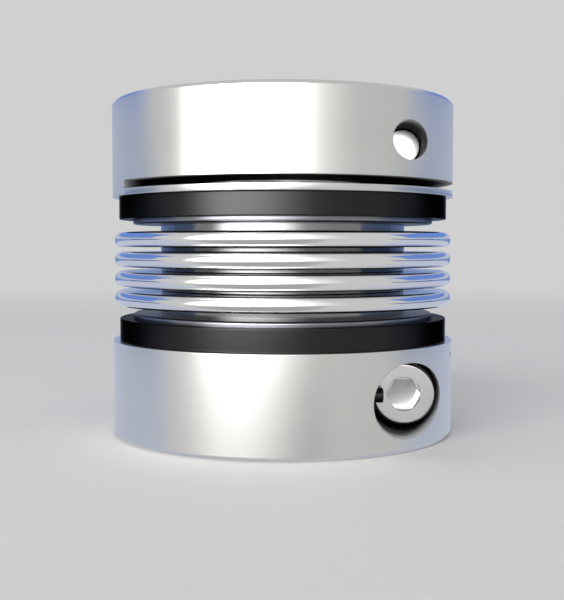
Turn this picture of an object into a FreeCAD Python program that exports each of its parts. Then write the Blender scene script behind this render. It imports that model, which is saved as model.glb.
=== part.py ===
"""A metal bellows shaft coupling with two split clamping hubs.

Millimetres, +Z along the coupling's axis. The origin is the centre of the lower end face, so the
coupling stands on it. The screws lie on the +X side, across the axis. The upper half is the lower
half turned half a turn about a line along X through the middle of the coupling.
"""
import math
import os

import FreeCAD
import Part

# Driving dimensions of the coupling
OVERALL_LENGTH = 47.0
HUB_DIAMETER = 49.0
BORE_DIAMETER = 24.0
CLAMP_LENGTH = 13.4
FIT_LENGTH = 16.5
EDGE_CHAMFER = 0.5
LEAD_IN_CHAMFER = 0.5

# Saw cuts that free the clamping ears
SLIT_WIDTH = 1.5
RELIEF_HEIGHT = 1.15
RELIEF_WEB = 0.85
RELIEF_START_DEG = -60.0
RELIEF_END_DEG = 106.0
SAW_DIAMETER = 125.0

# M5 x 16 clamping screw with a socket in its head
SCREW_DIAMETER = 5.0
SCREW_LENGTH = 16.0
SCREW_HEAD_DIAMETER = 8.5
SCREW_HEAD_HEIGHT = 5.0
SCREW_HEX = 4.0
SCREW_HEX_DEPTH = 2.5
SCREW_CHAMFER = 0.5
SCREW_THREAD_GAP = 0.05
SCREW_OFFSET = 16.4
SCREW_HEIGHT = 6.7
SCREW_SEAT = 7.0
COUNTERBORE_DIAMETER = 9.8
CLEARANCE_HOLE_DIAMETER = 5.5

# Dowel that the head backs out against, so that the screw opens the hub again
PIN_DIAMETER = 2.0
PIN_LENGTH = 6.0
PIN_OVERLAP = 1.35
PIN_GAP = 0.15

# Rings at the bellows side of each hub
BAND_DIAMETER = 47.2
PRESS_RING_DIAMETER = 43.3
PRESS_RING_PROUD = 0.7
PRESS_RING_CHAMFER = 0.35

# Bellows
CROWN_COUNT = 4
CROWN_DIAMETER = 48.5
ROOT_DIAMETER = 35.4
CROWN_PITCH = 2.76
CROWN_THICKNESS = 2.1
WALL = 0.25

# Worked out from the driving dimensions
HUB_R = HUB_DIAMETER / 2
BORE_R = BORE_DIAMETER / 2
ROOT_R = ROOT_DIAMETER / 2
NECK_INNER_R = ROOT_R - WALL
MID_HEIGHT = OVERALL_LENGTH / 2
RING_TOP = FIT_LENGTH + PRESS_RING_PROUD

X_AXIS = FreeCAD.Vector(1, 0, 0)
Y_AXIS = FreeCAD.Vector(0, 1, 0)
Z_AXIS = FreeCAD.Vector(0, 0, 1)


def turned(profile):
    """A solid turned about Z from a closed list of (radius, height) corners."""
    points = [FreeCAD.Vector(r, 0, z) for r, z in profile]
    wire = Part.makePolygon(points + points[:1])
    return Part.Face(wire).revolve(FreeCAD.Vector(), Z_AXIS, 360)


def drilled(diameter, start_y, end_y):
    """A round bar along Y on the screw's axis, from one depth to the other."""
    start = FreeCAD.Vector(SCREW_OFFSET, start_y, SCREW_HEIGHT)
    return Part.makeCylinder(diameter / 2, end_y - start_y, start, Y_AXIS)


def relief_cut():
    """The thin saw cut across the hub, whose floor is an arc of the saw blade.

    The cut's ends on the hub's surface are given as angles, counted from the front of the upper
    hub towards +X. Here they are mirrored to the back, because this is the lower hub.
    """
    middle = math.radians((RELIEF_START_DEG + RELIEF_END_DEG) / 2)
    half_span = math.radians((RELIEF_END_DEG - RELIEF_START_DEG) / 2)
    saw_r = SAW_DIAMETER / 2
    reach = HUB_R * math.cos(half_span) + math.sqrt(saw_r**2 - (HUB_R * math.sin(half_span)) ** 2)
    base = CLAMP_LENGTH - RELIEF_WEB - RELIEF_HEIGHT
    centre = FreeCAD.Vector(reach * math.sin(middle), reach * math.cos(middle), base)
    return Part.makeCylinder(saw_r, RELIEF_HEIGHT, centre, Z_AXIS)


def slit_cut():
    """The saw cut along the axis, from the bore out to +X, that splits the clamp in two ears."""
    height = CLAMP_LENGTH - RELIEF_WEB
    corner = FreeCAD.Vector(0, -SLIT_WIDTH / 2, 0)
    return Part.makeBox(HUB_DIAMETER, SLIT_WIDTH, height, corner)


def opening_pin():
    """The dowel, along X, just in front of the screw's head and standing over the head's rim."""
    axis_y = -(SCREW_SEAT + SCREW_HEAD_HEIGHT + PIN_GAP + PIN_DIAMETER / 2)
    tip_x = SCREW_OFFSET - SCREW_HEAD_DIAMETER / 2 + PIN_OVERLAP
    start = FreeCAD.Vector(tip_x - PIN_LENGTH, axis_y, SCREW_HEIGHT)
    return Part.makeCylinder(PIN_DIAMETER / 2, PIN_LENGTH, start, X_AXIS)


def hub():
    """A clamping hub, turned from bar, with the spigot that the bellows' neck fits on."""
    body = turned([
        (BORE_R, LEAD_IN_CHAMFER),
        (BORE_R + LEAD_IN_CHAMFER, 0),
        (HUB_R - EDGE_CHAMFER, 0),
        (HUB_R, EDGE_CHAMFER),
        (HUB_R, CLAMP_LENGTH),
        (NECK_INNER_R, CLAMP_LENGTH),
        (NECK_INNER_R, FIT_LENGTH),
        (BORE_R, FIT_LENGTH),
    ])
    cuts = [
        relief_cut(),
        slit_cut(),
        drilled(COUNTERBORE_DIAMETER, -HUB_R, -SCREW_SEAT),
        drilled(CLEARANCE_HOLE_DIAMETER, -SCREW_SEAT, 0),
        drilled(SCREW_DIAMETER, 0, HUB_R),
        opening_pin(),
    ]
    return body.cut(cuts)


def chamfered_at(solid, y, size):
    """The solid with the round edge that lies in the plane at y chamfered."""
    edges = [e for e in solid.Edges if e.Closed and abs(e.CenterOfMass.y - y) < 0.01]
    return solid.makeChamfer(size, edges)


def hex_socket(head_face):
    """The hexagonal hole for the key, with two corners level with the screw's axis."""
    corner_r = SCREW_HEX / math.sqrt(3)
    corners = []
    for k in range(6):
        angle = math.radians(60 * k)
        x = SCREW_OFFSET + corner_r * math.cos(angle)
        z = SCREW_HEIGHT + corner_r * math.sin(angle)
        corners.append(FreeCAD.Vector(x, head_face, z))
    outline = Part.Face(Part.makePolygon(corners + corners[:1]))
    return outline.extrude(Y_AXIS * SCREW_HEX_DEPTH)


def clamp_screw():
    """The clamping screw, its head towards -Y and its thread drawn as a plain shank."""
    head_face = -(SCREW_SEAT + SCREW_HEAD_HEIGHT)
    tip = SCREW_LENGTH - SCREW_SEAT
    head = chamfered_at(drilled(SCREW_HEAD_DIAMETER, head_face, -SCREW_SEAT), head_face, SCREW_CHAMFER)
    shank = drilled(SCREW_DIAMETER - 2 * SCREW_THREAD_GAP, -SCREW_SEAT, tip)
    shank = chamfered_at(shank, tip, SCREW_CHAMFER)
    return head.fuse(shank).cut(hex_socket(head_face)).removeSplitter()


def band_ring():
    """The black ring around the press ring, its outside left bare."""
    return turned([
        (PRESS_RING_DIAMETER / 2, CLAMP_LENGTH),
        (BAND_DIAMETER / 2, CLAMP_LENGTH),
        (BAND_DIAMETER / 2, FIT_LENGTH),
        (PRESS_RING_DIAMETER / 2, FIT_LENGTH),
    ])


def press_ring():
    """The bright ring that grips the bellows' neck on the hub's spigot."""
    outer = PRESS_RING_DIAMETER / 2
    return turned([
        (ROOT_R, CLAMP_LENGTH),
        (outer, CLAMP_LENGTH),
        (outer, RING_TOP - PRESS_RING_CHAMFER),
        (outer - PRESS_RING_CHAMFER, RING_TOP),
        (ROOT_R, RING_TOP),
    ])


def crown_round(z):
    """Corners of a crown's outer round, drawn as three flats that touch the true arc."""
    radius = CROWN_THICKNESS / 2
    centre_r = CROWN_DIAMETER / 2 - radius
    corner_r = radius / math.cos(math.radians(22.5))
    corners = []
    for degrees in (-67.5, -22.5, 22.5, 67.5):
        angle = math.radians(degrees)
        corners.append((centre_r + corner_r * math.cos(angle), z + corner_r * math.sin(angle)))
    return corners


def bellows():
    """The bellows: a thin corrugated tube, open inside its crowns, with a plain neck at each end."""
    half = CROWN_THICKNESS / 2
    inner_half = half - WALL
    inner_crown_r = CROWN_DIAMETER / 2 - half + inner_half / 2
    lowest = MID_HEIGHT - CROWN_PITCH * (CROWN_COUNT - 1) / 2
    outside = [(ROOT_R, CLAMP_LENGTH)]
    inside = [(NECK_INNER_R, CLAMP_LENGTH)]
    for k in range(CROWN_COUNT):
        z = lowest + k * CROWN_PITCH
        outside += [(ROOT_R, z - half)] + crown_round(z) + [(ROOT_R, z + half)]
        inside += [
            (NECK_INNER_R, z - inner_half),
            (inner_crown_r, z - inner_half),
            (inner_crown_r, z + inner_half),
            (NECK_INNER_R, z + inner_half),
        ]
    outside.append((ROOT_R, OVERALL_LENGTH - CLAMP_LENGTH))
    inside.append((NECK_INNER_R, OVERALL_LENGTH - CLAMP_LENGTH))
    return turned(outside + inside[::-1])


def at_upper_end(shape):
    """The same piece on the other hub: half a turn about a line along X at mid height."""
    turned_over = shape.copy()
    turned_over.rotate(FreeCAD.Vector(0, 0, MID_HEIGHT), X_AXIS, 180)
    return turned_over


def main():
    """Writes each piece to its own file."""
    os.makedirs("parts", exist_ok=True)
    bellows().exportStep("parts/bellows.step")
    pieces = {
        "hub": hub(),
        "band_ring": band_ring(),
        "press_ring": press_ring(),
        "clamp_screw": clamp_screw(),
        "opening_pin": opening_pin(),
    }
    for name, shape in pieces.items():
        shape.exportStep("parts/" + name + "_lower.step")
        at_upper_end(shape).exportStep("parts/" + name + "_upper.step")


main()
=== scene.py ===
"""The looks of a metal bellows coupling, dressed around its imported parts.

Metres, in the frame of the parts: +Z runs along the coupling's axis from the lower hub to the upper
one, and the clamping screws lie on the +X side. The upper half is the lower half turned half a turn
about the line along X at mid height, so each piece is made once, for the lower end.
"""

import logging
import math
from collections.abc import Mapping, Sequence
from dataclasses import dataclass, replace
from enum import Enum

import bpy
from mathutils import Matrix, Vector

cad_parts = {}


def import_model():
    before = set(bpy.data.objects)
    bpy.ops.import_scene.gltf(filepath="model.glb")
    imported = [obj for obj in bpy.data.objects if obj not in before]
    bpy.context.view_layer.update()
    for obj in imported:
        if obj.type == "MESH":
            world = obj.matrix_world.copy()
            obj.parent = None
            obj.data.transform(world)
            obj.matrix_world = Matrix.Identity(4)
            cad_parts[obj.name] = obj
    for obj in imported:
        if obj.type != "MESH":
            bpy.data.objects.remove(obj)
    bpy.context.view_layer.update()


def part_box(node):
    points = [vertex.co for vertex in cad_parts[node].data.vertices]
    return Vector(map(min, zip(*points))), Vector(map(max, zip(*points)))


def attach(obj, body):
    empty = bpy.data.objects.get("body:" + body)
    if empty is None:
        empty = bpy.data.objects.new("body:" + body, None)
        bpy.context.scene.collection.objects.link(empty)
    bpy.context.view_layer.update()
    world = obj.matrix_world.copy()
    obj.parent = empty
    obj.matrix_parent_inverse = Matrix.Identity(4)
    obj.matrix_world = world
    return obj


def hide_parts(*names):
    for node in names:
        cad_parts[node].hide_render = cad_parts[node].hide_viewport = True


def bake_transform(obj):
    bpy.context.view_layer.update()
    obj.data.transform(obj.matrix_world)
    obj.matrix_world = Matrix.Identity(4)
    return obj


Socket = bpy.types.NodeSocket
Value = Socket | float
Feeds = Mapping[str | int, object]
Colour = tuple[float, float, float]

LOG = logging.getLogger("coupling")
MM = 0.001
SHARP_ANGLE = math.radians(30.0)
WELD_DISTANCE = 0.0005 * MM
CUT_MARK = "cut"


class End(Enum):
    """One end of the coupling. The value ends the names of its pieces."""

    LOWER = "lower"
    UPPER = "upper"

    @property
    def body(self) -> str:
        """The body that carries this end's pieces."""
        return self.value + "_hub"


class Slot(Enum):
    """The material slots of the record."""

    HUB = "hub"
    BAND = "band"
    PRESS_RING = "press_ring"
    BELLOWS = "bellows"
    SCREW = "screw"
    PIN = "pin"


class Kind(Enum):
    """The kinds of named input that a node tree may have."""

    NUMBER = "NodeSocketFloat"
    COUNT = "NodeSocketInt"
    VECTOR = "NodeSocketVector"
    MATERIAL = "NodeSocketMaterial"


@dataclass(frozen=True)
class Layout:
    """The places and sizes that the sub-assemblies share, read from the frame.

    All but the height belong to the lower end.

    Attributes:
        height: The height of the whole coupling.
        hub_radius: The outer radius of a hub.
        clamp_length: The height of a hub's shoulder, which its rings stand on.
        fit_length: The height of a hub's spigot, and of the band's upper face.
        ring_top: The height of the press ring's upper face.
        band_radius: The outer radius of a band.
        press_radius: The outer radius of a press ring.
        crown_radius: The outer radius of the bellows' crowns.
        screw_x: The screw's distance from the coupling's axis. It runs along Y.
        screw_z: The height of the screw and of the dowel.
        head_face: Where the face of the screw's head is along Y.
        head_radius: The radius of the screw's head.
        screw_end: Where the screw's tip is along Y.
        pin_y: Where the dowel is along Y. It runs along X.
        pin_start: Where the dowel starts along X.
        pin_end: Where the dowel ends along X.
        pin_radius: The radius of the dowel.
    """

    height: float
    hub_radius: float
    clamp_length: float
    fit_length: float
    ring_top: float
    band_radius: float
    press_radius: float
    crown_radius: float
    screw_x: float
    screw_z: float
    head_face: float
    head_radius: float
    screw_end: float
    pin_y: float
    pin_start: float
    pin_end: float
    pin_radius: float

    @classmethod
    def from_frame(cls) -> "Layout":
        """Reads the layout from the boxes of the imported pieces.

        Returns:
            The layout of the coupling.
        """
        hub_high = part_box("hub_lower")[1]
        band_low, band_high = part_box("band_ring_lower")
        press_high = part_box("press_ring_lower")[1]
        screw_low, screw_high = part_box("clamp_screw_lower")
        pin_low, pin_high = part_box("opening_pin_lower")
        return cls(
            height=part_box("hub_upper")[1].z,
            hub_radius=hub_high.x,
            clamp_length=band_low.z,
            fit_length=hub_high.z,
            ring_top=press_high.z,
            band_radius=band_high.x,
            press_radius=press_high.x,
            crown_radius=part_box("bellows")[1].x,
            screw_x=(screw_low.x + screw_high.x) / 2,
            screw_z=(screw_low.z + screw_high.z) / 2,
            head_face=screw_low.y,
            head_radius=(screw_high.x - screw_low.x) / 2,
            screw_end=screw_high.y,
            pin_y=(pin_low.y + pin_high.y) / 2,
            pin_start=pin_low.x,
            pin_end=pin_high.x,
            pin_radius=(pin_high.y - pin_low.y) / 2,
        )

    @property
    def middle(self) -> float:
        """Half the coupling's height."""
        return self.height / 2

    def at_end(self, end: End) -> Matrix:
        """The move that takes a piece made for the lower end to the given end.

        Args:
            end: The end that the piece belongs to.

        Returns:
            The identity, or half a turn about the line along X at mid height.
        """
        if end is End.LOWER:
            return Matrix.Identity(4)
        return Matrix.Translation((0, 0, self.height)) @ Matrix.Rotation(math.pi, 4, "X")


def add_object(name: str, data: bpy.types.ID) -> bpy.types.Object:
    """Adds an object with the given data to the scene, at the origin.

    Args:
        name: The object's name.
        data: Its mesh, light or camera.

    Returns:
        The object.
    """
    made = bpy.data.objects.new(name, data)
    bpy.context.scene.collection.objects.link(made)
    return made


def report(piece: bpy.types.Object) -> None:
    """Logs a finished piece."""
    LOG.info("%s: %d faces", piece.name, len(piece.data.polygons))


class NodeKit:
    """Short ways to add and link nodes in any node tree."""

    def __init__(self, tree: bpy.types.NodeTree) -> None:
        """Keeps the tree that the nodes go in."""
        self.tree = tree

    def node(self, kind: str, feeds: Feeds | None = None, **settings: object) -> bpy.types.Node:
        """Adds a node.

        Args:
            kind: The node's type name.
            feeds: For each input, by name or index, what feeds it.
            settings: The node's own properties.

        Returns:
            The new node.
        """
        made = self.tree.nodes.new(kind)
        for name, value in settings.items():
            setattr(made, name, value)
        for key, value in (feeds or {}).items():
            self.feed(made.inputs[key], value)
        return made

    def out(
        self, kind: str, feeds: Feeds | None = None, port: int | str = 0, **settings: object
    ) -> Socket:
        """Adds a node and returns one of its outputs, by name or index."""
        return self.node(kind, feeds, **settings).outputs[port]

    def feed(self, socket: Socket, value: object) -> None:
        """Feeds an input.

        Args:
            socket: The input.
            value: A socket or a list of sockets to link to it, or a plain value to set.
        """
        sources = value if isinstance(value, list) else [value]
        for source in sources:
            if isinstance(source, Socket):
                self.tree.links.new(source, socket)
            else:
                socket.default_value = source

    def math(self, operation: str, *values: Value) -> Socket:
        """The result of a math node on up to three values."""
        return self.out("ShaderNodeMath", dict(enumerate(values)), operation=operation)

    def ramp(self, value: Value, start: float, end: float, low: float, high: float) -> Socket:
        """The value mapped smoothly from the range start to end onto the range low to high."""
        feeds = {"Value": value, "From Min": start, "From Max": end, "To Min": low, "To Max": high}
        return self.out("ShaderNodeMapRange", feeds, "Result", interpolation_type="SMOOTHSTEP")

    def squared(self, value: Value) -> Socket:
        """The square of a value."""
        return self.math("POWER", value, 2.0)

    def xyz(self, x: Value = 0.0, y: Value = 0.0, z: Value = 0.0) -> Socket:
        """A vector made of three values."""
        return self.out("ShaderNodeCombineXYZ", {0: x, 1: y, 2: z})

    def parts(self, vector: Socket) -> Sequence[Socket]:
        """The three values that a vector is made of."""
        return self.node("ShaderNodeSeparateXYZ", {0: vector}).outputs


class ShapeTree(NodeKit):
    """A geometry node tree that makes one kind of piece from named sizes."""

    def __init__(self, name: str) -> None:
        """Makes an empty tree with a mesh output.

        Args:
            name: The tree's name.
        """
        super().__init__(bpy.data.node_groups.new(name, "GeometryNodeTree"))
        self.tree.interface.new_socket("Mesh", in_out="OUTPUT", socket_type="NodeSocketGeometry")
        self.entry = self.tree.nodes.new("NodeGroupInput")
        self.exit = self.tree.nodes.new("NodeGroupOutput")

    def size(self, name: str, kind: Kind = Kind.NUMBER) -> Socket:
        """Adds a named input of the tree and returns its socket."""
        self.tree.interface.new_socket(name, in_out="INPUT", socket_type=kind.value)
        return self.entry.outputs[name]

    def circle(self, radius: Value, steps: Value) -> Socket:
        """A circle about Z, as a curve."""
        return self.out("GeometryNodeCurvePrimitiveCircle", {"Resolution": steps, "Radius": radius})

    def cylinder(self, radius: Value, depth: Value, sides: int) -> Socket:
        """A cylinder about Z, centred on the origin."""
        return self.out("GeometryNodeMeshCylinder", {"Vertices": sides, "Radius": radius, "Depth": depth})

    def cone(self, top: Value, bottom: Value, depth: Value, sides: int) -> Socket:
        """A cone about Z that stands on the origin, from its radii at the top and the bottom."""
        feeds = {"Vertices": sides, "Radius Top": top, "Radius Bottom": bottom, "Depth": depth}
        return self.out("GeometryNodeMeshCone", feeds)

    def moved(self, mesh: Socket, place: Socket, turn: Value | Sequence[float] = (0, 0, 0)) -> Socket:
        """The mesh turned about the origin and then moved by the place."""
        feeds = {"Geometry": mesh, "Translation": place, "Rotation": turn}
        return self.out("GeometryNodeTransform", feeds)

    def welded(self, mesh: Socket) -> Socket:
        """The mesh with the points that lie on each other merged."""
        return self.out("GeometryNodeMergeByDistance", {"Geometry": mesh, "Distance": WELD_DISTANCE})

    def marked(self, mesh: Socket) -> Socket:
        """A cutter whose faces are marked, so that the walls it leaves can be told from the rest."""
        mark = {"Geometry": mesh, "Name": CUT_MARK, "Value": True}
        return self.out("GeometryNodeStoreNamedAttribute", mark, data_type="BOOLEAN", domain="FACE")

    def finish(self, mesh: Socket, cut_material: Socket | None = None) -> None:
        """Ends the tree with real, welded faces and their materials.

        A cut keeps no material of its cutter's, but it keeps the mark, so cut walls are painted here.

        Args:
            mesh: The geometry to end with.
            cut_material: The material of the marked faces, if it isn't that of the rest.
        """
        real = self.welded(self.out("GeometryNodeRealizeInstances", {"Geometry": mesh}))
        material = self.size("Material", Kind.MATERIAL)
        painted = self.out("GeometryNodeSetMaterial", {"Geometry": real, "Material": material})
        if cut_material is not None:
            mark = self.out("GeometryNodeInputNamedAttribute", {"Name": CUT_MARK}, data_type="BOOLEAN")
            paint = {"Geometry": painted, "Selection": mark, "Material": cut_material}
            painted = self.out("GeometryNodeSetMaterial", paint)
        self.feed(self.exit.inputs[0], painted)

    def make(self, name: str, sizes: Mapping[str, object], wall: float = 0.0) -> bpy.types.Object:
        """Runs the tree and keeps the result as a plain mesh.

        Args:
            name: The new object's name.
            sizes: A value for each named input.
            wall: The thickness of a sheet-metal wall grown inwards, or 0 for a closed shape.

        Returns:
            An object with a plain mesh and no modifiers.
        """
        piece = add_object(name, bpy.data.meshes.new(name))
        modifier = piece.modifiers.new("shape", "NODES")
        modifier.node_group = self.tree
        for item in self.tree.interface.items_tree:
            if item.in_out == "INPUT":
                modifier[item.identifier] = sizes[item.name]
        if wall:
            shell = piece.modifiers.new("wall", "SOLIDIFY")
            shell.thickness = wall
            shell.offset = -1.0
        self.apply_modifiers(piece)
        # The rims of a wall are there only now, so the sharp edges are set after it.
        piece.data.shade_smooth()
        piece.data.set_sharp_from_angle(angle=SHARP_ANGLE)
        flats = piece.modifiers.new("flats", "WEIGHTED_NORMAL")
        flats.keep_sharp = True
        self.apply_modifiers(piece)
        piece.data.name = name
        return piece

    @staticmethod
    def apply_modifiers(piece: bpy.types.Object) -> None:
        """Puts what a piece's modifiers make in its mesh, and takes them off.

        Args:
            piece: The piece. Its mesh also loses the marks of the cuts and any empty first material.
        """
        graph = bpy.context.evaluated_depsgraph_get()
        mesh = bpy.data.meshes.new_from_object(piece.evaluated_get(graph))
        if CUT_MARK in mesh.attributes:
            mesh.attributes.remove(mesh.attributes[CUT_MARK])
        if mesh.materials[0] is None:
            mesh.materials.pop(index=0)
        piece.modifiers.clear()
        piece.data = mesh


class SweptTree(ShapeTree):
    """A tree whose piece is a section swept once round the Z axis, which other shapes may cut."""

    def chain(self, points: Value) -> Socket:
        """A spline with the given number of points, which are placed later."""
        line = self.out("GeometryNodeMeshLine", {"Count": points})
        return self.out("GeometryNodeMeshToCurve", {"Mesh": line})

    def swept(self, corners: Sequence[str], closed: bool) -> Socket:
        """A section given by its corners, swept round the axis.

        Args:
            corners: The name of each corner of the section. Its value is (radius, height, round).
            closed: False if the section starts and ends on the axis.

        Returns:
            A closed mesh.
        """
        index = self.out("GeometryNodeInputIndex")
        switch = self.node("GeometryNodeIndexSwitch", {"Index": index}, data_type="VECTOR")
        while len(switch.index_switch_items) < len(corners):
            switch.index_switch_items.new()
        for k, corner in enumerate(corners):
            self.feed(switch.inputs[k + 1], self.size(corner, Kind.VECTOR))
        radius, height, rounding = self.parts(switch.outputs[0])
        ends = {"Geometry": self.chain(len(corners)), "Cyclic": closed}
        spline = self.out("GeometryNodeSetSplineCyclic", ends)
        return self.welded(self.revolve(spline, radius, height, rounding))

    def revolve(self, spline: Socket, radius: Socket, height: Socket, rounding: Socket) -> Socket:
        """Places a spline's points, rounds its corners and sweeps it round the Z axis.

        Args:
            spline: The section's spline.
            radius: Each point's distance from the axis.
            height: Each point's height.
            rounding: The radius that each corner is rounded to.

        Returns:
            The swept mesh, with its faces outwards.
        """
        path_radius = self.size("Path Radius")
        # On an upright path a profile's Y points down, so the heights go in negated, and the mesh
        # that comes out is inside out.
        out = self.math("SUBTRACT", radius, path_radius)
        down = self.math("MULTIPLY", height, -1.0)
        place = {"Geometry": spline, "Position": self.xyz(out, down)}
        steps = self.size("Corner Steps", Kind.COUNT)
        corner = {"Curve": self.out("GeometryNodeSetPosition", place), "Radius": rounding,
                  "Limit Radius": True, "Count": steps}
        section = self.out("GeometryNodeFilletCurve", corner, mode="POLY")
        path = self.circle(path_radius, self.size("Segments", Kind.COUNT))
        upright = self.out("GeometryNodeSetCurveNormal", {"Curve": path}, mode="Z_UP")
        swept = self.out("GeometryNodeCurveToMesh", {"Curve": upright, "Profile Curve": section})
        return self.out("GeometryNodeFlipFaces", {"Mesh": swept})

    def cut(self, body: Socket, tools: list[Socket]) -> Socket:
        """The body with the tools' shapes cut away."""
        meshes = {"Mesh 1": body, "Mesh 2": tools}
        return self.out("GeometryNodeMeshBoolean", meshes, operation="DIFFERENCE", solver="MANIFOLD")


class TurnedTree(SweptTree):
    """A plain turned part."""

    def __init__(self, name: str, corners: Sequence[str], closed: bool) -> None:
        """Builds the tree.

        Args:
            name: The tree's name.
            corners: The name of each corner of the section. Its value is (radius, height, round).
            closed: False if the section starts and ends on the axis.
        """
        super().__init__(name)
        self.finish(self.swept(corners, closed))


class HubTree(SweptTree):
    """A clamping hub: turned from bar, sawn and drilled, with its tapped hole drilled plain."""

    CORNERS = ("Bore Lead-in", "Bottom Inner", "Bottom Outer", "Outside Bottom", "Outside Top",
               "Shoulder", "Spigot Top", "Bore Top")
    FRONT = -1.0
    BACK = 1.0
    SAW_STEPS = 512
    HOLE_STEPS = 144
    PIN_STEPS = 48
    RIM_SIDES = 8

    def __init__(self) -> None:
        """Builds the tree."""
        super().__init__("Clamping Hub")
        self.screw_x = self.size("Screw Offset")
        self.screw_z = self.size("Screw Height")
        self.hub_radius = self.size("Hub Radius")
        self.rim_break = self.size("Rim Break")
        body = self.swept(self.CORNERS, True)
        seat = self.size("Seat Depth")
        counterbore = self.size("Counterbore Radius")
        thread = self.size("Thread Radius")
        front = self.math("MULTIPLY", self.hub_radius, self.FRONT)
        cutters = [
            self.relief(),
            self.slit(),
            self.drilled(counterbore, front, seat),
            self.drilled(self.size("Clearance Radius"), seat, 0.0),
            self.drilled(thread, 0.0, self.hub_radius),
            self.pin_hole(),
            self.rim(counterbore, self.FRONT),
            self.rim(thread, self.BACK),
        ]
        tools = [self.marked(cutter) for cutter in cutters]
        # Cut walls get the cut material, whose darkness is partly painted shade.
        self.finish(self.cut(body, tools), self.size("Cut Material", Kind.MATERIAL))

    def half_way(self, start: Value, end: Value) -> Socket:
        """The middle between two values."""
        return self.math("MULTIPLY", self.math("ADD", end, start), 0.5)

    def drilled(self, radius: Socket, start: Value, end: Value) -> Socket:
        """A hole along Y on the screw's axis.

        Args:
            radius: The hole's radius.
            start: Where it starts along Y.
            end: Where it ends along Y.

        Returns:
            The hole's shape, as a cutter.
        """
        bar = self.cylinder(radius, self.math("SUBTRACT", end, start), self.HOLE_STEPS)
        place = self.xyz(self.screw_x, self.half_way(start, end), self.screw_z)
        return self.moved(bar, place, (math.pi / 2, 0, 0))

    def relief(self) -> Socket:
        """The saw blade that cuts the relief slot across the hub."""
        blade = self.cylinder(self.size("Saw Radius"), self.size("Relief Height"), self.SAW_STEPS)
        return self.moved(blade, self.size("Saw Centre", Kind.VECTOR))

    def slit(self) -> Socket:
        """The cut that splits the clamp, from the bore out to +X and up from below the lower face.

        Returns:
            The cut's shape, as a cutter.
        """
        long = self.math("MULTIPLY", self.hub_radius, 2.0)
        high = self.math("MULTIPLY", self.size("Slit Height"), 2.0)
        shape = self.xyz(long, self.size("Slit Width"), high)
        return self.moved(self.out("GeometryNodeMeshCube", {"Size": shape}), self.xyz(self.hub_radius))

    def rim(self, radius: Socket, side: float) -> Socket:
        """A thin tube along the edge where a hole meets the outside, which breaks that edge.

        Args:
            radius: The hole's radius.
            side: FRONT or BACK, where the hole comes out.

        Returns:
            The tube, as a cutter.
        """
        at = self.parts(self.out("GeometryNodeInputPosition"))
        x = self.math("ADD", at[0], self.screw_x)
        z = self.math("ADD", at[1], self.screw_z)
        y_squared = self.math("SUBTRACT", self.squared(self.hub_radius), self.squared(x))
        y = self.math("MULTIPLY", self.math("SQRT", y_squared), side)
        place = {"Geometry": self.circle(radius, self.HOLE_STEPS), "Position": self.xyz(x, y, z)}
        tube = {"Curve": self.out("GeometryNodeSetPosition", place),
                "Profile Curve": self.circle(self.rim_break, self.RIM_SIDES)}
        return self.out("GeometryNodeCurveToMesh", tube)

    def pin_hole(self) -> Socket:
        """The blind hole of the dowel, along X as far as the screw's axis.

        Returns:
            The hole's shape, as a cutter.
        """
        start = self.parts(self.size("Pin Start", Kind.VECTOR))
        long = self.math("SUBTRACT", self.screw_x, start[0])
        bar = self.cylinder(self.size("Pin Radius"), long, self.PIN_STEPS)
        place = self.xyz(self.half_way(start[0], self.screw_x), start[1], start[2])
        return self.moved(bar, place, (0, math.pi / 2, 0))


class BellowsTree(SweptTree):
    """One half of the bellows: a neck, then round crowns with round roots between them.

    The section's corners are the lower end, four for each crown and the upper end. A crown's
    corners, 0 to 3, are its lower root, its rim twice and its upper root.
    """

    CROWN_CORNERS = 4.0
    MID_CORNER = 1.5
    MATCH = 0.6

    def __init__(self) -> None:
        """Builds the tree."""
        super().__init__("Bellows Half")
        half = self.math("MULTIPLY", self.size("Crown Thickness"), 0.5)
        crowns = self.size("Crowns", Kind.COUNT)
        last = self.math("MULTIPLY_ADD", crowns, self.CROWN_CORNERS, 1.0)
        index = self.out("GeometryNodeInputIndex")
        is_first = self.math("COMPARE", index, 0.0, self.MATCH)
        is_last = self.math("COMPARE", index, last, self.MATCH)
        corner = self.math("SUBTRACT", index, 1.0)
        crown = self.math("FLOOR", self.math("DIVIDE", corner, self.CROWN_CORNERS))
        step = self.math("SUBTRACT", corner, self.math("MULTIPLY", crown, self.CROWN_CORNERS))
        is_rim = self.math("COMPARE", step, self.MID_CORNER, self.MATCH)
        is_upper = self.math("GREATER_THAN", step, self.MID_CORNER)
        side = self.math("MULTIPLY_ADD", is_upper, 2.0, -1.0)
        crown_z = self.math("MULTIPLY_ADD", crown, self.size("Pitch"), self.size("First Crown"))
        wall_z = self.math("MULTIPLY_ADD", side, half, crown_z)
        end_z = self.either(is_last, self.size("Bottom"), self.size("Top"))
        height = self.either(self.math("ADD", is_first, is_last), wall_z, end_z)
        radius = self.either(is_rim, self.size("Root Radius"), self.size("Crown Radius"))
        rounding = self.either(is_rim, self.size("Root Round"), half)
        spline = self.chain(self.math("ADD", last, 1.0))
        self.finish(self.revolve(spline, radius, height, rounding))

    def either(self, choice: Socket, at_zero: Socket, at_one: Socket) -> Socket:
        """The first value where the choice is 0 and the second where it is 1."""
        return self.out("ShaderNodeMix", {0: choice, 2: at_zero, 3: at_one}, data_type="FLOAT")


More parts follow.
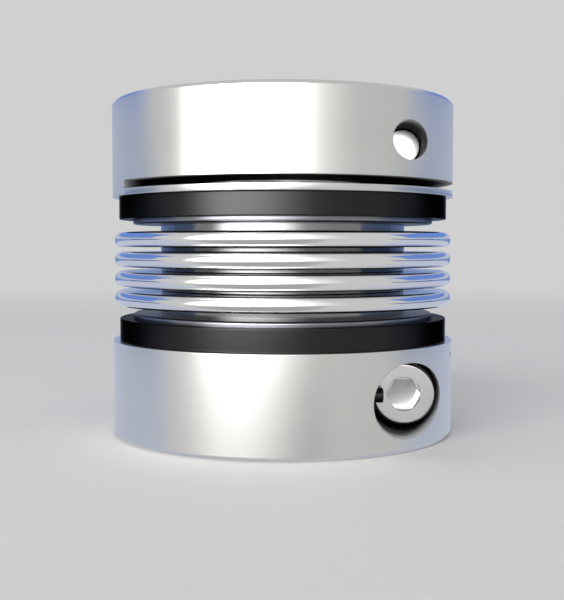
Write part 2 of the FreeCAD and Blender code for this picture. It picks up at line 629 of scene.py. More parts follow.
class HelixTree(ShapeTree):
    """A thread's ridge: a triangle swept along a helix about Z, upwards from its start."""

    STEPS_A_TURN = 48
    TRIANGLE = 3

    def __init__(self) -> None:
        """Builds the tree."""
        super().__init__("Thread Ridge")
        radius = self.size("Middle Radius")
        length = self.size("Length")
        helix = {"Resolution": self.STEPS_A_TURN, "Start Radius": radius, "End Radius": radius,
                 "Rotations": self.math("DIVIDE", length, self.size("Pitch")), "Height": length}
        path = self.out("GeometryNodeCurveSpiral", helix)
        sweep = {"Curve": self.out("GeometryNodeSetCurveNormal", {"Curve": path}, mode="Z_UP"),
                 "Profile Curve": self.circle(self.size("Ridge Size"), self.TRIANGLE),
                 "Fill Caps": True}
        self.finish(self.out("GeometryNodeCurveToMesh", sweep))


class SocketHeadTree(SweptTree):
    """A screw's head about Z, its face at the top, with a hexagonal socket and a knurled side."""

    CORNERS = ("Underside", "Underside Edge", "Face Edge", "Face Flat", "Face")
    HEXAGON = 6
    FLARE_STEPS = 96
    POINT_STEPS = 48
    POINT_WIDTH = 0.8
    RIDGE_SIDES = 4

    def __init__(self) -> None:
        """Builds the tree."""
        super().__init__("Socket Head")
        head = self.swept(self.CORNERS, False)
        face = self.size("Face Height")
        depth = self.size("Socket Depth")
        corner = self.size("Socket Corner Radius")
        flare_depth = self.size("Flare Depth")
        point_depth = self.size("Point Depth")
        key_hole = self.cylinder(corner, self.math("MULTIPLY", depth, 2.0), self.HEXAGON)
        outer, inner = self.math("ADD", corner, flare_depth), self.math("SUBTRACT", corner, flare_depth)
        flare = self.cone(outer, inner, self.math("MULTIPLY", flare_depth, 2.0), self.FLARE_STEPS)
        width = self.math("MULTIPLY", corner, self.POINT_WIDTH)
        point = self.cone(width, 0.0, point_depth, self.POINT_STEPS)
        floor = self.math("SUBTRACT", face, depth)
        # The flare isn't marked, so it keeps the face's bright material, not the socket's darker one,
        # whose darkness is painted shade.
        tools = [
            self.marked(self.raised(key_hole, face)),
            self.raised(flare, self.math("SUBTRACT", face, flare_depth)),
            self.marked(self.raised(point, self.math("SUBTRACT", floor, point_depth))),
        ]
        meshes = [self.cut(head, tools), self.knurl()]
        joined = self.out("GeometryNodeJoinGeometry", {"Geometry": meshes})
        self.finish(joined, self.size("Socket Material", Kind.MATERIAL))

    def raised(self, mesh: Socket, height: Socket) -> Socket:
        """The mesh moved up to a height."""
        return self.moved(mesh, self.xyz(z=height))

    def knurl(self) -> Socket:
        """Straight ridges set evenly round the head's side.

        Returns:
            The ridges, as instances.
        """
        ring = {"Vertices": self.size("Knurl Count", Kind.COUNT), "Radius": self.size("Knurl Radius")}
        points = self.out("GeometryNodeMeshCircle", ring)
        ridge = self.cylinder(self.size("Knurl Size"), self.size("Knurl Length"), self.RIDGE_SIDES)
        at = self.parts(self.out("GeometryNodeInputPosition"))
        turn = self.xyz(z=self.math("ARCTAN2", at[1], at[0]))
        feeds = {"Points": points, "Instance": ridge, "Rotation": turn}
        return self.raised(self.out("GeometryNodeInstanceOnPoints", feeds), self.size("Knurl Height"))


class ShaderGroup(NodeKit):
    """A shader node group with named inputs and outputs."""

    def __init__(self, name: str, inputs: Mapping[str, Kind], outputs: Sequence[str]) -> None:
        """Makes the group with its sockets.

        Args:
            name: The group's name.
            inputs: The kind of each input, by name.
            outputs: The names of the outputs, which are numbers.
        """
        super().__init__(bpy.data.node_groups.new(name, "ShaderNodeTree"))
        for label, kind in inputs.items():
            self.tree.interface.new_socket(label, in_out="INPUT", socket_type=kind.value)
        for label in outputs:
            self.tree.interface.new_socket(label, in_out="OUTPUT", socket_type=Kind.NUMBER.value)
        self.entry = self.tree.nodes.new("NodeGroupInput").outputs
        self.exit = self.tree.nodes.new("NodeGroupOutput").inputs


def tool_lines() -> bpy.types.NodeTree:
    """The fine lines that a turning tool leaves round the Z axis, on faces and on sides alike.

    Returns:
        A group that gives each line's height and the slower drift of the feed, both from 0 to 1.
    """
    drifts_per_line = 0.07
    inputs = {"Vector": Kind.VECTOR, "Lines per Metre": Kind.NUMBER}
    group = ShaderGroup("Tool Lines", inputs, ("Height", "Drift"))
    at = group.parts(group.entry["Vector"])
    radius = group.math("SQRT", group.math("ADD", group.squared(at[0]), group.squared(at[1])))
    surface = group.math("ADD", radius, at[2])
    along = group.math("MULTIPLY", surface, group.entry["Lines per Metre"])
    fine = {"W": along, "Scale": 1.0, "Detail": 1.0, "Roughness": 0.5}
    group.feed(group.exit["Height"], group.out("ShaderNodeTexNoise", fine, noise_dimensions="1D"))
    slow = {"W": group.math("MULTIPLY", along, drifts_per_line), "Scale": 1.0, "Detail": 1.0}
    group.feed(group.exit["Drift"], group.out("ShaderNodeTexNoise", slow, noise_dimensions="1D"))
    return group.tree


def handling() -> bpy.types.NodeTree:
    """The faint uneven film that handling leaves on a bright part.

    Returns:
        A group that gives the film's strength, from 0 to 1.
    """
    clean, filmed = 0.35, 0.7
    inputs = {"Vector": Kind.VECTOR, "Patches per Metre": Kind.NUMBER}
    group = ShaderGroup("Handling", inputs, ("Film",))
    cloud = {"Vector": group.entry["Vector"], "Scale": group.entry["Patches per Metre"], "Detail": 4.0,
             "Roughness": 0.55, "Distortion": 0.4}
    noise = group.out("ShaderNodeTexNoise", cloud, noise_dimensions="3D")
    group.feed(group.exit["Film"], group.ramp(noise, clean, filmed, 0.0, 1.0))
    return group.tree


@dataclass(frozen=True)
class Effects:
    """The shader groups that the finishes share."""

    tool_lines: bpy.types.NodeTree
    handling: bpy.types.NodeTree


class MaterialKit(NodeKit):
    """The nodes of a new material."""

    def __init__(self, name: str) -> None:
        """Makes the material with its Principled shader.

        Args:
            name: The material's name.
        """
        self.material = bpy.data.materials.new(name)
        self.material.use_nodes = True
        super().__init__(self.material.node_tree)
        self.shader = self.tree.nodes["Principled BSDF"]

    def place(self) -> Socket:
        """The place in the coupling's frame."""
        return self.out("ShaderNodeTexCoord", port="Object")

    def distance(self, place: Socket) -> Socket:
        """How far a place is from the origin."""
        return self.out("ShaderNodeVectorMath", {0: place}, "Value", operation="LENGTH")


@dataclass(frozen=True)
class PaintedShade:
    """Painted shade: a darker colour deep inside cuts and folds, where little light reaches.

    It is full inside the radius deep and gone outside the radius rim, both from the coupling's axis,
    and it ends at the distance reach above and below the height middle.
    """

    colour: Colour
    deep: float
    rim: float
    middle: float = 0.0
    reach: float = 1.0

    def blend(self, kit: MaterialKit, place: Socket, plain: Socket) -> Socket:
        """The plain colour mixed with this one by place.

        Args:
            kit: The material's nodes.
            place: The place in the coupling's frame.
            plain: The colour outside recesses.

        Returns:
            The colour everywhere.
        """
        flat = kit.out("ShaderNodeVectorMath", {0: place, 1: (1.0, 1.0, 0.0)}, operation="MULTIPLY")
        # Painted shade: full where the place is deep, gone at the rim.
        depth = kit.ramp(kit.distance(flat), self.deep, self.rim, 1.0, 0.0)
        is_near = kit.math("COMPARE", kit.parts(place)[2], self.middle, self.reach)
        share = kit.math("MULTIPLY", depth, is_near)
        return kit.out("ShaderNodeMix", {0: share, 4: plain, 5: self.colour}, 1, data_type="VECTOR")


@dataclass(frozen=True)
class Finish:
    """A finish on a turned part, with tool lines round its axis and a faint film of handling.

    The colour drifts with the feed by up to the tint, which it reaches at tint_low and tint_high.
    """

    name: str
    colour: Colour
    metallic: float
    roughness: float
    specular: float = 0.5
    film: float = 0.03
    patches_per_metre: float = 70.0
    lines_per_metre: float = 1800.0
    line_depth: float = 0.0004 * MM
    tint: float = 0.04
    tint_low: float = 0.3
    tint_high: float = 0.7
    edge_tint: float = 1.0
    painted_shades: tuple[PaintedShade, ...] = ()

    def material(self, effects: Effects, axis: Matrix) -> bpy.types.Material:
        """Makes the material.

        Args:
            effects: The shared shader groups.
            axis: The place and direction of the part's own turning axis, whose Z it is.

        Returns:
            The material.
        """
        kit = MaterialKit(self.name)
        inputs = kit.shader.inputs
        place = kit.place()
        inverse = axis.inverted()
        turned = {"Vector": place, "Location": inverse.translation, "Rotation": inverse.to_euler()}
        local = kit.out("ShaderNodeMapping", turned, vector_type="POINT")
        feeds = {"Vector": local, "Lines per Metre": self.lines_per_metre}
        lines = kit.node("ShaderNodeGroup", feeds, node_tree=effects.tool_lines).outputs
        feeds = {"Vector": local, "Patches per Metre": self.patches_per_metre}
        film = kit.out("ShaderNodeGroup", feeds, "Film", node_tree=effects.handling)
        base = kit.xyz(*self.colour)
        # Painted shade: each of these darkens the colour deep in the part's recesses.
        for recess in self.painted_shades:
            base = recess.blend(kit, place, base)
        drift = kit.ramp(lines["Drift"], self.tint_low, self.tint_high, 1.0 - self.tint, 1.0 + self.tint)
        toned = kit.out("ShaderNodeVectorMath", {0: base, 1: drift}, operation="MULTIPLY")
        kit.feed(inputs["Base Color"], toned)
        kit.feed(inputs["Roughness"], kit.math("MULTIPLY_ADD", film, self.film, self.roughness))
        bump = {"Height": lines["Height"], "Distance": self.line_depth, "Strength": 1.0}
        kit.feed(inputs["Normal"], kit.out("ShaderNodeBump", bump))
        inputs["Metallic"].default_value = self.metallic
        inputs["Specular IOR Level"].default_value = self.specular
        inputs["Specular Tint"].default_value = (self.edge_tint, self.edge_tint, self.edge_tint, 1.0)
        return kit.material


class Coupling:
    """What the sub-assemblies share: the layout, the shader groups and the placing of pieces."""

    def __init__(self, layout: Layout) -> None:
        """Keeps the layout and builds the shared shader groups."""
        self.layout = layout
        self.effects = Effects(tool_lines(), handling())

    def paint(self, finish: Finish, axis: Matrix = Matrix.Identity(4)) -> bpy.types.Material:
        """The finish as a material."""
        return finish.material(self.effects, axis)

    def settle(self, piece: bpy.types.Object, end: End, slot: Slot, *replaced: str) -> None:
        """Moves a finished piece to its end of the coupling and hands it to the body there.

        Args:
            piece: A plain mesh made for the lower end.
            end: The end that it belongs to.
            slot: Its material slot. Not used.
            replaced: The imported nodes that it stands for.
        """
        piece.data.transform(self.layout.at_end(end))
        if replaced:
            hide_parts(*replaced)
        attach(piece, end.body)
        report(piece)


@dataclass
class ClampingHubs:
    """The two hubs, turned from aluminium bar, sawn and drilled."""

    coupling: Coupling
    bore_radius: float = 12.0 * MM
    lead_in: float = 0.5 * MM
    edge_chamfer: float = 0.5 * MM
    edge_round: float = 0.06 * MM
    spigot_radius: float = 17.45 * MM
    slit_width: float = 1.5 * MM
    relief_height: float = 1.15 * MM
    relief_web: float = 0.85 * MM
    relief_start: float = math.radians(-60.0)
    relief_end: float = math.radians(106.0)
    saw_radius: float = 62.5 * MM
    counterbore_radius: float = 4.9 * MM
    clearance_radius: float = 2.75 * MM
    thread_radius: float = 2.5 * MM
    seat_depth: float = -7.0 * MM
    rim_break: float = 0.09 * MM
    corner_steps: int = 3
    segments: int = 512
    finish: Finish = Finish(
        "satin_aluminium", (0.74, 0.735, 0.715), 1.0, 0.24, film=0.0, line_depth=0.0, tint=0.012)
    # The cut walls' dull grey is partly a sawn finish and partly painted shade; deep in the cuts it turns
    # near-black, which is painted shade.
    cut_finish_and_shade: Finish = Finish(
        "cut_aluminium_and_painted_shade", (0.5, 0.51, 0.53), 0.0, 0.6, specular=0.15, line_depth=0.0001 * MM,
        painted_shades=(PaintedShade((0.008, 0.008, 0.008), 21.5 * MM, 24.2 * MM),))

    def saw_centre(self) -> tuple[float, float, float]:
        """The middle of the saw blade whose rim is the floor of the relief slot.

        Returns:
            Its place in the coupling's frame.
        """
        middle = (self.relief_start + self.relief_end) / 2
        half_span = (self.relief_end - self.relief_start) / 2
        hub = self.coupling.layout.hub_radius
        half_chord = hub * math.sin(half_span)
        reach = hub * math.cos(half_span) + math.sqrt(self.saw_radius**2 - half_chord**2)
        height = self.coupling.layout.clamp_length - self.relief_web - self.relief_height / 2
        return (reach * math.sin(middle), reach * math.cos(middle), height)

    def build(self) -> None:
        """Makes both hubs."""
        layout = self.coupling.layout
        outside = layout.hub_radius
        sizes = {
            "Bore Lead-in": (self.bore_radius, self.lead_in, self.edge_round),
            "Bottom Inner": (self.bore_radius + self.lead_in, 0.0, self.edge_round),
            "Bottom Outer": (outside - self.edge_chamfer, 0.0, self.edge_round),
            "Outside Bottom": (outside, self.edge_chamfer, self.edge_round),
            "Outside Top": (outside, layout.clamp_length, self.edge_round),
            "Shoulder": (self.spigot_radius, layout.clamp_length, 0.0),
            "Spigot Top": (self.spigot_radius, layout.fit_length, self.edge_round),
            "Bore Top": (self.bore_radius, layout.fit_length, self.edge_round),
            "Path Radius": self.bore_radius,
            "Corner Steps": self.corner_steps,
            "Segments": self.segments,
            "Hub Radius": outside,
            "Screw Offset": layout.screw_x,
            "Screw Height": layout.screw_z,
            "Rim Break": self.rim_break,
            "Seat Depth": self.seat_depth,
            "Counterbore Radius": self.counterbore_radius,
            "Clearance Radius": self.clearance_radius,
            "Thread Radius": self.thread_radius,
            "Saw Radius": self.saw_radius,
            "Relief Height": self.relief_height,
            "Saw Centre": self.saw_centre(),
            "Slit Height": layout.clamp_length - self.relief_web,
            "Slit Width": self.slit_width,
            "Pin Start": (layout.pin_start, layout.pin_y, layout.screw_z),
            "Pin Radius": layout.pin_radius,
            "Material": self.coupling.paint(self.finish),
            "Cut Material": self.coupling.paint(self.cut_finish_and_shade),
        }
        tree = HubTree()
        for end in End:
            hub = tree.make("clamping_hub_" + end.value, sizes)
            self.coupling.settle(hub, end, Slot.HUB, "hub_" + end.value)


@dataclass
class Rings:
    """The black bands and the bright press rings on the hubs."""

    coupling: Coupling
    neck_radius: float = 17.7 * MM
    band_edge: float = 0.15 * MM
    press_edge: float = 0.35 * MM
    press_inner_edge: float = 0.35 * MM / 3
    corner_steps: int = 5
    segments: int = 384
    band_finish: Finish = Finish(
        "satin_black", (0.034, 0.034, 0.035), 1.0, 0.24, edge_tint=0.0, line_depth=0.0003 * MM)
    press_finish: Finish = Finish("bright_turned_steel", (0.26, 0.265, 0.29), 1.0, 0.2, edge_tint=0.3)

    def build(self) -> None:
        """Makes all four rings."""
        layout = self.coupling.layout
        low = layout.clamp_length
        shared = {"Path Radius": self.neck_radius, "Corner Steps": self.corner_steps,
                  "Segments": self.segments}
        band = shared | {
            "Bottom Inner": (layout.press_radius, low, 0.0),
            "Bottom Outer": (layout.band_radius, low, self.band_edge),
            "Top Outer": (layout.band_radius, layout.fit_length, self.band_edge),
            "Top Inner": (layout.press_radius, layout.fit_length, 0.0),
            "Material": self.coupling.paint(self.band_finish),
        }
        press = shared | {
            "Bottom Inner": (self.neck_radius, low, 0.0),
            "Bottom Outer": (layout.press_radius, low, 0.0),
            "Top Outer": (layout.press_radius, layout.ring_top, self.press_edge),
            "Top Inner": (self.neck_radius, layout.ring_top, self.press_inner_edge),
            "Material": self.coupling.paint(self.press_finish),
        }
        tree = TurnedTree("Ring", ("Bottom Inner", "Bottom Outer", "Top Outer", "Top Inner"), True)
        for end in End:
            ring = tree.make("black_band_" + end.value, band)
            self.coupling.settle(ring, end, Slot.BAND, "band_ring_" + end.value)
            ring = tree.make("bright_ring_" + end.value, press)
            self.coupling.settle(ring, end, Slot.PRESS_RING, "press_ring_" + end.value)


@dataclass
class Bellows:
    """The bellows, as two halves that meet in the middle root."""

    coupling: Coupling
    root_radius: float = 17.7 * MM
    wall: float = 0.25 * MM
    crown_thickness: float = 2.1 * MM
    pitch: float = 2.76 * MM
    crowns: int = 4
    root_round: float = 0.12 * MM
    corner_steps: int = 14
    segments: int = 384
    # Painted shade: the neck and the roots of the folds are darker, where little light reaches.
    neck_painted_shade: PaintedShade = PaintedShade((0.265, 0.268, 0.275), 17.8 * MM, 18.6 * MM)
    fold_painted_shade: PaintedShade = PaintedShade((0.13, 0.132, 0.138), 18.0 * MM, 21.6 * MM, reach=4.6 * MM)
    finish: Finish = Finish(
        "drawn_stainless", (0.86, 0.86, 0.86), 1.0, 0.09, line_depth=0.0001 * MM, tint=0.02)

    def build(self) -> None:
        """Makes both halves."""
        layout = self.coupling.layout
        middle = layout.middle
        painted_shades = (self.neck_painted_shade, replace(self.fold_painted_shade, middle=middle))
        sizes = {
            "Root Radius": self.root_radius,
            "Crown Radius": layout.crown_radius,
            "Crown Thickness": self.crown_thickness,
            "Pitch": self.pitch,
            "First Crown": middle - self.pitch * (self.crowns - 1) / 2,
            "Crowns": self.crowns // 2,
            "Bottom": layout.clamp_length,
            "Top": middle,
            "Root Round": self.root_round,
            "Path Radius": self.root_radius,
            "Corner Steps": self.corner_steps,
            "Segments": self.segments,
            "Material": self.coupling.paint(replace(self.finish, painted_shades=painted_shades)),
        }
        tree = BellowsTree()
        for end in End:
            half = tree.make("bellows_half_" + end.value, sizes, self.wall)
            half.data.transform(layout.at_end(end))
            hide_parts("bellows")
            ring_top = Vector((0, 0, layout.ring_top))
            points = [ring_top, Vector((0, 0, middle))]
            if end is End.UPPER:
                points = [Vector((0, 0, middle)), layout.at_end(end) @ ring_top]
            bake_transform(half)
            report(half)


@dataclass
class ClampScrews:
    """The clamping screws and the dowels that their heads back out against.

    A screw is made about Z with its face at height 0 and its tip down, and a dowel about Z as well.
    """

    coupling: Coupling
    head_height: float = 5.0 * MM
    head_edge: float = 0.35 * MM
    underside_edge: float = 0.175 * MM
    face_inset: float = 0.42 * MM
    socket_width: float = 4.0 * MM
    socket_depth: float = 2.5 * MM
    flare_depth: float = 0.07 * MM
    point_depth: float = 1.0 * MM
    knurl_count: int = 90
    knurl_size: float = 0.07 * MM
    knurl_length: float = 3.6 * MM
    thread_radius: float = 2.45 * MM
    thread_depth: float = 0.384 * MM
    thread_start: float = 1.2 * MM
    thread_runout: float = 0.4 * MM
    pitch: float = 0.8 * MM
    tip_chamfer: float = 0.2 * MM
    shank_top: float = -4.5 * MM
    pin_edge: float = 0.15 * MM
    corner_steps: int = 5
    segments: int = 128
    pin_corner_steps: int = 4
    pin_segments: int = 64
    finish: Finish = Finish("bright_plated_steel", (0.8, 0.8, 0.79), 1.0, 0.17, tint=0.02)
    # Painted shade: the socket is darker than the face, standing in for the shade inside it.
    socket_finish_and_shade: Finish = Finish("pressed_steel_and_painted_shade", (0.6, 0.6, 0.6), 1.0, 0.15, tint=0.02)
    pin_finish: Finish = Finish("black_oxide", (0.012, 0.012, 0.012), 0.0, 0.4, specular=0.4)

    def screw_axis(self) -> Matrix:
        """The screw's own frame, with its face at the origin, its head below and its Z out of the hub.

        Returns:
            The move from that frame to the lower end's.
        """
        layout = self.coupling.layout
        place = Matrix.Translation((layout.screw_x, layout.head_face, layout.screw_z))
        return place @ Matrix.Rotation(math.pi / 2, 4, "X")

    def pin_axis(self) -> Matrix:
        """The dowel's own frame, whose Z is the coupling's X.

        Returns:
            The move from that frame to the lower end's.
        """
        layout = self.coupling.layout
        place = Matrix.Translation((0, layout.pin_y, layout.screw_z))
        return place @ Matrix.Rotation(math.pi / 2, 4, "Y")

    def head_sizes(self) -> dict[str, object]:
        """The sizes of a head, with its socket and its knurl.

        Returns:
            A value for each of the head tree's own inputs.
        """
        radius = self.coupling.layout.head_radius
        return {
            "Underside": (0.0, -self.head_height, 0.0),
            "Underside Edge": (radius, -self.head_height, self.underside_edge),
            "Face Edge": (radius, 0.0, self.head_edge),
            "Face Flat": (radius - self.face_inset, 0.0, 0.0),
            "Face": (0.0, 0.0, 0.0),
            "Face Height": 0.0,
            "Socket Depth": self.socket_depth,
            "Socket Corner Radius": self.socket_width / math.sqrt(3),
            "Flare Depth": self.flare_depth,
            "Point Depth": self.point_depth,
            "Knurl Count": self.knurl_count,
            "Knurl Radius": radius - self.knurl_size / 2,
            "Knurl Size": self.knurl_size,
            "Knurl Length": self.knurl_length,
            "Knurl Height": -self.head_height / 2,
        }

    def shank_sizes(self, length: float) -> dict[str, object]:
        """The sizes of a shank.

        Args:
            length: How far the tip is from the head's face.

        Returns:
            A value for each corner of the shank.
        """
        core = self.thread_radius - self.thread_depth
        return {
            "Tip": (0.0, -length, 0.0),
            "Tip Edge": (self.thread_radius - self.tip_chamfer, -length, 0.0),
            "Tip Side": (self.thread_radius, self.tip_chamfer - length, 0.0),
            "Tip Shoulder": (self.thread_radius, self.pitch - length, 0.0),
            "Core": (core, self.pitch - length + self.tip_chamfer, 0.0),
            "Core Top": (core, self.shank_top, 0.0),
            "Top": (0.0, self.shank_top, 0.0),
        }

    def thread_sizes(self, length: float) -> dict[str, object]:
        """The sizes of a thread's ridge, whose section is a triangle with sides of one pitch.

        Args:
            length: How far the tip is from the head's face.

        Returns:
            A value for each of the ridge tree's own inputs.
        """
        ridge = self.pitch / math.sqrt(3)
        return {
            "Middle Radius": self.thread_radius - ridge,
            "Length": length - self.head_height - self.thread_start - self.thread_runout,
            "Pitch": self.pitch,
            "Ridge Size": ridge,
        }

    def pin_sizes(self) -> dict[str, object]:
        """The sizes of a dowel.

        Returns:
            A value for each input of the bar tree but the material.
        """
        layout = self.coupling.layout
        return {
            "Bottom": (0.0, layout.pin_start, 0.0),
            "Bottom Edge": (layout.pin_radius, layout.pin_start, self.pin_edge),
            "Top Edge": (layout.pin_radius, layout.pin_end, self.pin_edge),
            "Top": (0.0, layout.pin_end, 0.0),
            "Path Radius": layout.pin_radius,
            "Corner Steps": self.pin_corner_steps,
            "Segments": self.pin_segments,
        }

    def build(self) -> None:
        """Makes both screws, their threads and both dowels."""
        layout = self.coupling.layout
        length = layout.screw_end - layout.head_face
        axis = self.screw_axis()
        thread_axis = axis @ Matrix.Translation((0, 0, self.thread_start - length))
        pin_axis = self.pin_axis()
        head_tree = SocketHeadTree()
        helix_tree = HelixTree()
        shank_corners = ("Tip", "Tip Edge", "Tip Side", "Tip Shoulder", "Core", "Core Top", "Top")
        shank_tree = TurnedTree("Screw Shank", shank_corners, False)
        bar_tree = TurnedTree("Round Bar", ("Bottom", "Bottom Edge", "Top Edge", "Top"), False)
        for end in End:
            place = layout.at_end(end)
            steel = self.coupling.paint(self.finish, place @ axis)
            shared = {"Path Radius": self.thread_radius, "Corner Steps": self.corner_steps,
                      "Segments": self.segments, "Material": steel}
            socket = {"Socket Material": self.coupling.paint(self.socket_finish_and_shade, place @ axis)}
            black = {"Material": self.coupling.paint(self.pin_finish, place @ pin_axis)}
            head = head_tree.make("screw_head_" + end.value, shared | self.head_sizes() | socket)
            shank = shank_tree.make("screw_shank_" + end.value, shared | self.shank_sizes(length))
            thread = helix_tree.make("screw_thread_" + end.value, shared | self.thread_sizes(length))
            dowel = bar_tree.make("dowel_" + end.value, self.pin_sizes() | black)
            for piece, own in ((head, axis), (shank, axis), (thread, thread_axis), (dowel, pin_axis)):
                piece.data.transform(own)
            self.coupling.settle(head, end, Slot.SCREW, "clamp_screw_" + end.value)
            self.coupling.settle(shank, end, Slot.SCREW)
            self.coupling.settle(thread, end, Slot.SCREW)
            self.coupling.settle(dowel, end, Slot.PIN, "opening_pin_" + end.value)


class Glow(Enum):
    """The colours of light that the cards give."""

    WHITE = (1.0, 1.0, 1.0)
    WARM_WHITE = (1.0, 1.0, 0.99)
    COOL_BLUE = (0.15, 0.27, 0.67)
    PALE_BLUE = (0.47, 0.52, 0.65)
    MISTY_BLUE = (0.55, 0.59, 0.72)
    DIM_BLUE = (0.1, 0.17, 0.33)
    STEEL_BLUE = (0.19, 0.29, 0.57)


@dataclass(frozen=True)
class Card:
    """An upright reflection card, curved round the coupling's axis, out of the camera's sight.

    All angles are in degrees. Those round the axis count from the front, positive towards +X, and
    heights count up from the coupling's middle. The heights are given at the start and at the end.
    """

    name: str
    start: float
    end: float
    bottom: tuple[float, float]
    top: tuple[float, float]
    glow: Glow
    strength: float = 1.0
    start_fade: float = 0.0
    end_fade: float = 0.0
    distance: float = 0.6
    least_fade: float = 0.01
    steps: int = 48

    def both_sides(self, **changes: object) -> tuple["Card", "Card"]:
        """The card's mirror image on the left, with the given fields changed, and the card itself."""
        mirrored = replace(self, name=self.name + "_left", start=-self.start, end=-self.end)
        return replace(mirrored, **changes), replace(self, name=self.name + "_right")

    def build(self, centre: Vector) -> None:
        """Makes the card.

        Args:
            centre: The point that the angles and heights are seen from.
        """
        corners = []
        for k in range(self.steps + 1):
            share = k / self.steps
            angle = math.radians(self.start + (self.end - self.start) * share)
            for at_start, at_end in (self.bottom, self.top):
                height = math.radians(at_start + (at_end - at_start) * share)
                aim = Vector((math.sin(angle), -math.cos(angle), math.tan(height)))
                corners.append(centre + self.distance * aim)
        faces = [(2 * k, 2 * k + 2, 2 * k + 3, 2 * k + 1) for k in range(self.steps)]
        mesh = bpy.data.meshes.new(self.name)
        mesh.from_pydata(corners, [], faces)
        mesh.materials.append(self.material())
        card = add_object(self.name, mesh)
        # Only reflections show it: the lamps light the matt surfaces.
        card.visible_camera = False
        card.visible_diffuse = False
        card.visible_shadow = False

    def material(self) -> bpy.types.Material:
        """A glowing material that fades out towards the card's start and end.

        Returns:
            The material.
        """
        kit = MaterialKit(self.name)
        kit.tree.nodes.remove(kit.shader)
        at = kit.parts(kit.place())
        turn = kit.math("DEGREES", kit.math("ARCTAN2", at[0], kit.math("MULTIPLY", at[1], -1.0)))
        ends = sorted(((self.start, self.start_fade), (self.end, self.end_fade)))
        (low, low_fade), (high, high_fade) = ends
        fade_in = kit.ramp(turn, low - self.least_fade, low + low_fade, 0.0, 1.0)
        fade_out = kit.ramp(turn, high - high_fade, high + self.least_fade, 1.0, 0.0)
        shown = kit.math("MULTIPLY", fade_in, fade_out)
        light = {"Color": (*self.glow.value, 1.0), "Strength": self.strength}
        lit = {0: shown, 1: kit.out("ShaderNodeBsdfTransparent"), 2: kit.out("ShaderNodeEmission", light)}
        surface = kit.tree.nodes["Material Output"].inputs["Surface"]
        kit.feed(surface, kit.out("ShaderNodeMixShader", lit))
        return kit.material


@dataclass(frozen=True)
class Lamp:
    """A square soft lamp, out of the camera's and the metal's sight."""

    name: str
    place: tuple[float, float, float]
    size: float
    power: float

    def build(self, centre: Vector) -> None:
        """Makes the lamp.

        Args:
            centre: The point that it is aimed at.
        """
        data = bpy.data.lights.new(self.name, "AREA")
        data.size = self.size
        data.energy = self.power
        lamp = add_object(self.name, data)
        lamp.location = self.place
        lamp.rotation_euler = (centre - Vector(self.place)).to_track_quat("-Z", "Y").to_euler()
        lamp.visible_camera = False
        lamp.visible_glossy = False


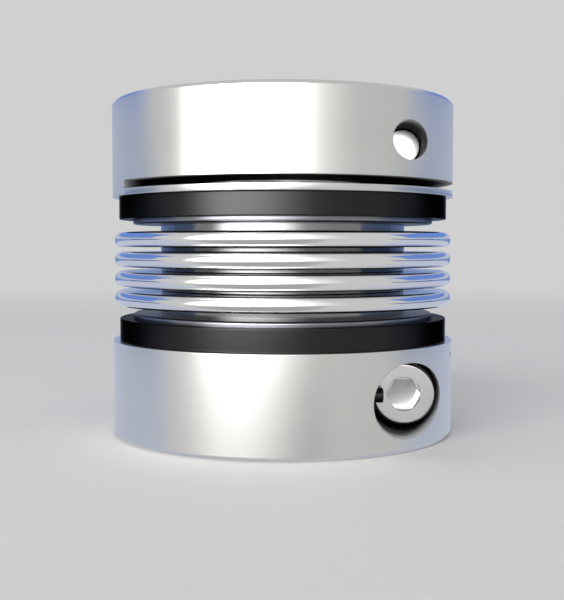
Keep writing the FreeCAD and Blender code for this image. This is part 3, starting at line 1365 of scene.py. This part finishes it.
@dataclass
class Studio:
    """A pale floor that fades into a pale background, soft lamps, reflection cards and the camera."""

    coupling: Coupling
    background: float = 0.63
    fill: float = 0.5
    floor_level: float = 0.62
    floor_radius: float = 0.6
    floor_steps: int = 96
    floor_fade_start: float = 0.1
    floor_fade_end: float = 0.54
    floor_roughness: float = 0.7
    floor_specular: float = 0.1
    image_height: float = 600.0
    focal_pixels: float = 991.9
    sensor_width: float = 36.0
    clip_start: float = 0.01
    camera_distance: float = 145.7 * MM
    camera_height: float = 26.8 * MM
    camera_pitch: float = math.radians(3.14)
    camera_side: float = -0.09 * MM
    lamps: tuple[Lamp, ...] = (
        Lamp("key", (-0.35, -0.6, 0.55), 0.5, 3.0),
        Lamp("top", (0.1, 0.1, 0.9), 0.8, 2.2),
    )
    cards: tuple[Card, ...] = (
        Card("softbox", -68.0, 24.0, (-1.8, -1.8), (58.0, 58.0), Glow.WHITE, 8.5, 32.0, 52.0),
        Card(
            "wide_softbox", -72.0, 50.0, (1.0, 1.0), (70.0, 70.0), Glow.WARM_WHITE, 1.2, 16.0, 44.0, 0.62,
        ),
        Card("low_strip", -60.0, 12.0, (-5.2, -5.2), (-2.8, -2.8), Glow.WHITE, 1.4, 20.0, 38.0),
        Card("low_sheet", -76.0, 17.0, (-17.0, -17.0), (-5.2, -5.2), Glow.WHITE, 1.0, 38.0, 48.0, 0.59),
        Card("front_sheet", -70.0, 36.0, (-75.0, -75.0), (-8.0, -8.0), Glow.WHITE, 0.42, 20.0, 22.0),
        *Card(
            "cool_card", 88.0, 180.0, (11.0, 10.5), (44.0, 30.0), Glow.COOL_BLUE, start_fade=4.0,
        ).both_sides(start=-94.0),
        *Card(
            "pale_card", 82.0, 180.0, (-4.8, -4.8), (0.0, 36.0), Glow.PALE_BLUE, start_fade=6.0,
            distance=0.64,
        ).both_sides(start=-86.0, top=(3.0, 36.0), start_fade=2.0),
        *Card(
            "low_card", 82.0, 180.0, (-60.0, -60.0), (-4.8, -4.8), Glow.MISTY_BLUE, start_fade=6.0,
            distance=0.64,
        ).both_sides(start=-80.0, start_fade=2.0),
        *Card(
            "dim_strip", 72.0, 118.0, (-5.0, -5.0), (2.2, 2.2), Glow.DIM_BLUE, start_fade=6.0,
            distance=0.58,
        ).both_sides(start=-84.0),
        *Card(
            "blue_strip", 118.0, 180.0, (-5.0, -5.0), (2.2, 2.2), Glow.STEEL_BLUE, distance=0.58,
        ).both_sides(),
    )

    def build(self) -> None:
        """Sets up the stage, the light and the camera."""
        scene = bpy.context.scene
        scene.view_settings.view_transform = "Standard"
        self.floor()
        self.world(scene)
        centre = Vector((0, 0, self.coupling.layout.middle))
        for item in self.cards + self.lamps:
            item.build(centre)
        self.camera(scene)

    def floor(self) -> None:
        """The floor, which fades out with distance so that no horizon shows."""
        turns = [2 * math.pi * k / self.floor_steps for k in range(self.floor_steps)]
        ring = [self.floor_radius * Vector((math.cos(turn), math.sin(turn), 0.0)) for turn in turns]
        mesh = bpy.data.meshes.new("floor")
        mesh.from_pydata(ring, [], [tuple(range(self.floor_steps))])
        mesh.materials.append(self.floor_material())
        floor = add_object("floor", mesh)
        floor.visible_glossy = False

    def floor_material(self) -> bpy.types.Material:
        """The floor's pale matte surface.

        Returns:
            The material.
        """
        kit = MaterialKit("pale_floor")
        inputs = kit.shader.inputs
        inputs["Base Color"].default_value = (self.floor_level, self.floor_level, self.floor_level, 1.0)
        inputs["Roughness"].default_value = self.floor_roughness
        inputs["Specular IOR Level"].default_value = self.floor_specular
        radius = kit.distance(kit.place())
        kit.feed(inputs["Alpha"], kit.ramp(radius, self.floor_fade_start, self.floor_fade_end, 1.0, 0.0))
        return kit.material

    def world(self, scene: bpy.types.Scene) -> None:
        """The background: pale to the camera and in metal, a plain fill for everything else.

        Args:
            scene: The scene that it is set in.
        """
        world = bpy.data.worlds.new("studio")
        scene.world = world
        world.use_nodes = True
        kit = NodeKit(world.node_tree)
        rays = kit.node("ShaderNodeLightPath").outputs
        direct = kit.math("MAXIMUM", rays["Is Camera Ray"], rays["Is Glossy Ray"])
        seen = kit.math("MAXIMUM", direct, rays["Is Transmission Ray"])
        level = kit.out("ShaderNodeMix", {0: seen, 2: self.fill, 3: self.background}, data_type="FLOAT")
        shader = world.node_tree.nodes["Background"]
        shader.inputs["Color"].default_value = (1.0, 1.0, 1.0, 1.0)
        kit.feed(shader.inputs["Strength"], level)

    def camera(self, scene: bpy.types.Scene) -> None:
        """The camera, level with the coupling and a little above its middle.

        Args:
            scene: The scene whose camera it becomes.
        """
        data = bpy.data.cameras.new("camera")
        data.sensor_width = self.sensor_width
        data.lens = self.focal_pixels * self.sensor_width / self.image_height
        data.clip_start = self.clip_start
        camera = add_object("camera", data)
        camera.location = (self.camera_side, -self.camera_distance, self.camera_height)
        camera.rotation_euler = (math.pi / 2 - self.camera_pitch, 0, 0)
        scene.camera = camera


def main() -> None:
    """Dresses the coupling and sets up the studio round it."""
    logging.basicConfig(level=logging.INFO, format="%(message)s")
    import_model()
    coupling = Coupling(Layout.from_frame())
    ClampingHubs(coupling).build()
    Rings(coupling).build()
    Bellows(coupling).build()
    ClampScrews(coupling).build()
    Studio(coupling).build()


if __name__ == "__main__":
    main()
